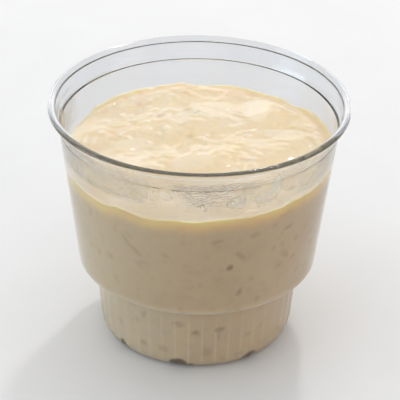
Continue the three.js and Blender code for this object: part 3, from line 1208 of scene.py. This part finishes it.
# Larger drops of water, which stand clear of the film: bearing, height and radius
LARGE_DROPS = (
    (-88.1, 68.9, 0.7),
    (-89.4, 68.7, 0.5),
    (-76.2, 69.9, 0.6),
    (-67.5, 69.1, 0.35),
    (-61.2, 68.3, 0.35),
    (-44.9, 70.5, 0.3),
)
# Where the others stand: bearings from and to, heights from and to, how many, and radii from and to
DROPS = (
    (-150, -106, 67.0, 77.0, 260, 0.14, 0.3),
    (-100, -62, 66.5, 77.0, 150, 0.14, 0.32),
    (-62, -20, 68.0, 78.0, 26, 0.13, 0.3),
    (170, 182, 69.0, 79.0, 16, 0.14, 0.34),
)
# The higher, the fewer of them are large
DROP_SKEW = 2.2


def condensation():
    """Drops of water on the inside of the wall, clear of the ledge."""
    draw = draws(17)
    shapes = [drop_of_water(draw, math.radians(turn), height, size) for turn, height, size in LARGE_DROPS]
    for start, end, low, high, count, small, large in DROPS:
        for _ in range(count):
            turn = math.radians(draw.uniform(start, end))
            height = draw.uniform(low, high)
            size = mix(small, large, draw.random() ** DROP_SKEW)
            if abs(height - LEDGE_HEIGHT) > LEDGE_STEP:
                shapes.append(drop_of_water(draw, turn, height, size))
    return joined(shapes)


# The broad film that milk left on the front of the wall: bearings and heights from and to, and its cover
BROAD_FILM = (-178, -6, 62.4, 81.0, 0.07)
# How softly it ends, in degrees at its sides and in height at its foot and its top
BROAD_FADE, BROAD_EDGE = 10, 1.5
# Smears of milk: bearing, height, half width in degrees, half height, how well they cover, thickness
SMEARS = (
    (-43.0, 73.2, 11.0, 5.5, 0.3, 0.03),
    (-57.8, 73.0, 1.8, 4.8, 0.55, 0.05),
    (-74.5, 69.9, 4.6, 2.6, 0.5, 0.06),
    (-62.8, 69.8, 4.0, 2.8, 0.5, 0.06),
    (-68.0, 74.0, 10.0, 3.0, 0.3, 0.04),
    (-102.5, 72.3, 3.6, 3.0, 0.4, 0.03),
    (-128.0, 72.0, 22.0, 4.5, 0.3, 0.0),
    (177.0, 74.0, 4.0, 5.0, 0.25, 0.06),
    (139.0, 74.8, 9.0, 0.9, 0.1, 0.02),
)
# Where the wall shows through the film: bearing, height, half width in degrees, half height and how far
BARE_WALL = (
    (-55.7, 68.6, 3.4, 1.7, 0.6),
    (-49.5, 67.0, 4.5, 1.5, 0.55),
    (-38.5, 65.6, 6.0, 1.3, 0.45),
    *[(bearing, height, 1.4 * size, 1.1 * size, 0.9) for bearing, height, size in LARGE_DROPS],
)
FILM_CELL = 0.34
FILM_SINK = 0.04
FILM_THICKNESS = 0.05
FILM_LOW, FILM_HIGH = 62.3, 79.6
# The film is cut off where it covers less than this
LEAST_COVER = 0.02
# How well a film covers where it starts to look rich, and where it does in full
RICH_START, RICH_FULL = 0.25, 0.5
# A film this thick carries no mist
DRY_THICKNESS = 0.1


def milk_on_wall():
    """Films of milk on the inside wall, thinning to nothing at their edges, and how well they cover."""
    rows = int((FILM_HIGH - FILM_LOW) / FILM_CELL)
    columns = int(TURN * WALL_TOP_RADIUS / FILM_CELL)
    turn = np.linspace(-math.pi, math.pi, columns, endpoint=False)[None, :]
    height = np.linspace(FILM_LOW, FILM_HIGH, rows)[:, None]
    place = round_place(WALL_TOP_RADIUS, turn, height)
    ragged = 0.45 * cloud(place, 4.5, 50) + 0.3 * cloud(place, 1.6, 51)
    start, end, low, high, broad = BROAD_FILM
    across = stretch(turn, start, end, BROAD_FADE)
    up = rise_and_fall(height, low, low + BROAD_EDGE, high - BROAD_EDGE, high)
    cover = broad * across * up * (1 + 0.12 * cloud(place, 6.0, 53) + 0.08 * cloud(place, 2.0, 54))
    thick = np.zeros(place.shape[:-1])
    for bearing, middle, half_turn, half_height, opacity, thickness in SMEARS:
        body = ramp(1.35, 0.35, oval(turn, height, bearing, middle, half_turn, half_height) + ragged)
        cover = np.maximum(cover, opacity * body)
        thick = np.maximum(thick, thickness * body * (0.7 + 0.6 * cloud(place, 1.2, 52)))
    for bearing, middle, half_turn, half_height, clear in BARE_WALL:
        off = oval(turn, height, bearing, middle, half_turn, half_height)
        cover = cover * (1 - clear * ramp(1.6, 0.4, off + 0.5 * ragged))
    cover = np.clip(cover, 0, 1)
    rich = ramp(RICH_START, RICH_FULL, cover)
    filled = cover > LEAST_COVER
    beside = np.roll(filled, -1, 1)
    cells = (filled | beside)[:-1] | (filled | beside)[1:]
    radius = collar_inside(height)
    front = round_place(radius - FILM_THICKNESS - thick, turn, height)
    back = round_place(radius + FILM_SINK, turn, height)
    mist = mist_on_wall(turn, height) * ramp(DRY_THICKNESS, 0, thick)
    return walled_cells(front, back, cells, {"cover": cover, "mist": mist, "rich": rich})


def walled_cells(front, back, cells, measures):
    """A closed skin over the cells that are filled, of a grid that closes all round, with its measures."""
    rows, columns = front.shape[:2]
    number = np.arange(rows * columns).reshape(rows, columns)
    other = number + rows * columns
    filled = np.pad(cells, ((1, 1), (0, 0)))
    faces = []
    for r, c in zip(*np.nonzero(cells)):
        after = (c + 1) % columns
        corners = [(r, c), (r, after), (r + 1, after), (r + 1, c)]
        near = [int(number[k]) for k in corners]
        far = [int(other[k]) for k in corners]
        faces.append(tuple(reversed(near)))
        faces.append(tuple(far))
        beside = [filled[r, c], filled[r + 1, after], filled[r + 2, c], filled[r + 1, c - 1]]
        for k in range(4):
            if not beside[k]:
                step = (k + 1) % 4
                faces.append((near[k], near[step], far[step], far[k]))
    points = np.concatenate([front.reshape(-1, 3), back.reshape(-1, 3)])
    used = sorted({corner for face in faces for corner in face})
    place = {old: new for new, old in enumerate(used)}
    shape = points[used], [tuple(place[corner] for corner in face) for face in faces]
    return shape, {name: np.tile(values.ravel(), 2)[used] for name, values in measures.items()}


# ---------------------------------------------------------------- the dessert and its table

# How far a standing grain lifts the cream where it is covered, and where it is bare
LEAST_LIFT, MOST_LIFT = 0.35, 0.85


def make_dessert():
    standing = standing_grains()
    for grain in standing:
        grain["lift"] = float(mix(LEAST_LIFT, MOST_LIFT, bareness(grain["x"], grain["y"])))
    sunken = sunken_grains()

    shape, measures = cup_shape()
    cup = new_piece("dessert_cup", shape, formed_polystyrene(), measures)
    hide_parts("cup")

    shape, measures = pudding_shape(standing, sunken)
    pudding = new_piece("pudding_cream", shape, rice_cream(), measures)
    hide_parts("rice_pudding")

    new_piece("surface_rice", surface_grains(standing), boiled_rice())
    new_piece("condensation", condensation(), condensed_water())
    shape, measures = milk_on_wall()
    new_piece("milk_films", shape, milk_film(), measures)


# The table and the lamps are in metres
TABLE_SIZE = 6.0


def make_table():
    mesh = bpy.data.meshes.new("board")
    half = TABLE_SIZE / 2
    corners = [(-half, -half, 0), (half, -half, 0), (half, half, 0), (-half, half, 0)]
    mesh.from_pydata(corners, [], [(0, 1, 2, 3)])
    mesh.materials.append(matt_board())
    board = bpy.data.objects.new("board", mesh)
    bpy.context.scene.collection.objects.link(board)


# ---------------------------------------------------------------- light and camera


LAMPS_AIM = (0, 0, 0.05)


def soft_light(name, place, width, depth, watts, tint):
    """A rectangular lamp aimed at the dessert."""
    lamp = bpy.data.lights.new(name, "AREA")
    lamp.shape = "RECTANGLE"
    lamp.size = width
    lamp.size_y = depth
    lamp.energy = watts
    lamp.color = linear(tint)[:3]
    holder = bpy.data.objects.new(name, lamp)
    bpy.context.scene.collection.objects.link(holder)
    holder.location = place
    aim = Vector(LAMPS_AIM) - Vector(place)
    holder.rotation_euler = aim.to_track_quat("-Z", "Y").to_euler()


def make_lights():
    soft_light("overhead_box", (-0.05, 0.1, 0.93), 1.2, 1.0, 2.0, "#fffdfa")
    soft_light("rear_window", (0.0, 1.0, 0.4), 1.0, 0.35, 2.4, "#fffaf4")
    soft_light("front_fill", (0.1, -1.1, 0.25), 1.2, 0.5, 1.2, "#fff8ee")
    soft_light("left_window", (-1.0, -0.2, 0.25), 0.6, 0.5, 2.3, "#d6eeff")
    soft_light("right_bounce", (0.9, -0.5, 0.25), 0.6, 0.5, 0.8, "#ffe4c8")
    soft_light("glint_lamp", (0.15, 0.55, 0.8), 0.06, 0.06, 1.4, "#ffffff")


WORLD_STRENGTH = 0.7


def make_world():
    """A plain studio: bright overhead, and paler behind than in front."""
    world = bpy.data.worlds.new("studio")
    bpy.context.scene.world = world
    world.use_nodes = True
    world.node_tree.nodes.clear()
    look = add_node(world, "ShaderNodeTexCoord", output="Generated")
    behind = add_node(world, "ShaderNodeSeparateXYZ", {"Vector": look}, "Y")
    behind = {"Value": behind, "From Min": -0.6, "From Max": 0.8}
    behind = add_node(world, "ShaderNodeMapRange", behind)
    up = add_node(world, "ShaderNodeSeparateXYZ", {"Vector": look}, "Z")
    up = add_node(world, "ShaderNodeMapRange", {"Value": up, "From Min": 0.0, "From Max": 1.0})
    tone = layered(world, "#ccc7c1", [(behind, "#d6d8da"), (up, "#f2f4f6")])
    light = add_node(world, "ShaderNodeBackground", {"Color": tone, "Strength": WORLD_STRENGTH})
    add_node(world, "ShaderNodeOutputWorld", {"Surface": light})


# How far off the camera is, its angles, how far it is shifted and the length of its lens
CAMERA_DISTANCE = 557.8
CAMERA_ELEVATION = math.radians(30.87)
CAMERA_ROLL = math.radians(1.045)
CAMERA_ASIDE = 0.69
CAMERA_RAISED = 3.76
LENS = 154.4
# The nearest that it sees, in metres
NEAREST_SEEN = 0.01


def make_camera():
    """A long lens looking down on the cup, turned a little about its own axis."""
    forward = Vector((0, math.cos(CAMERA_ELEVATION), -math.sin(CAMERA_ELEVATION)))
    right = Vector((1, 0, 0))
    up = right.cross(forward)
    place = Vector((0, 0, CUP_HEIGHT / 2)) - CAMERA_DISTANCE * forward
    place = (place + CAMERA_ASIDE * right + CAMERA_RAISED * up) * MM
    c, s = math.cos(CAMERA_ROLL), math.sin(CAMERA_ROLL)
    across, upward = c * right + s * up, c * up - s * right
    lens = bpy.data.cameras.new("camera")
    lens.lens = LENS
    lens.clip_start = NEAREST_SEEN
    camera = bpy.data.objects.new("camera", lens)
    bpy.context.scene.collection.objects.link(camera)
    camera.matrix_world = Matrix(
        [(across[i], upward[i], -forward[i], place[i]) for i in range(3)] + [(0, 0, 0, 1)]
    )
    bpy.context.scene.camera = camera


make_camera()
make_world()
make_lights()
make_table()
make_dessert()
bpy.context.scene.view_settings.view_transform = "Standard"

bpy.context.view_layer.update()
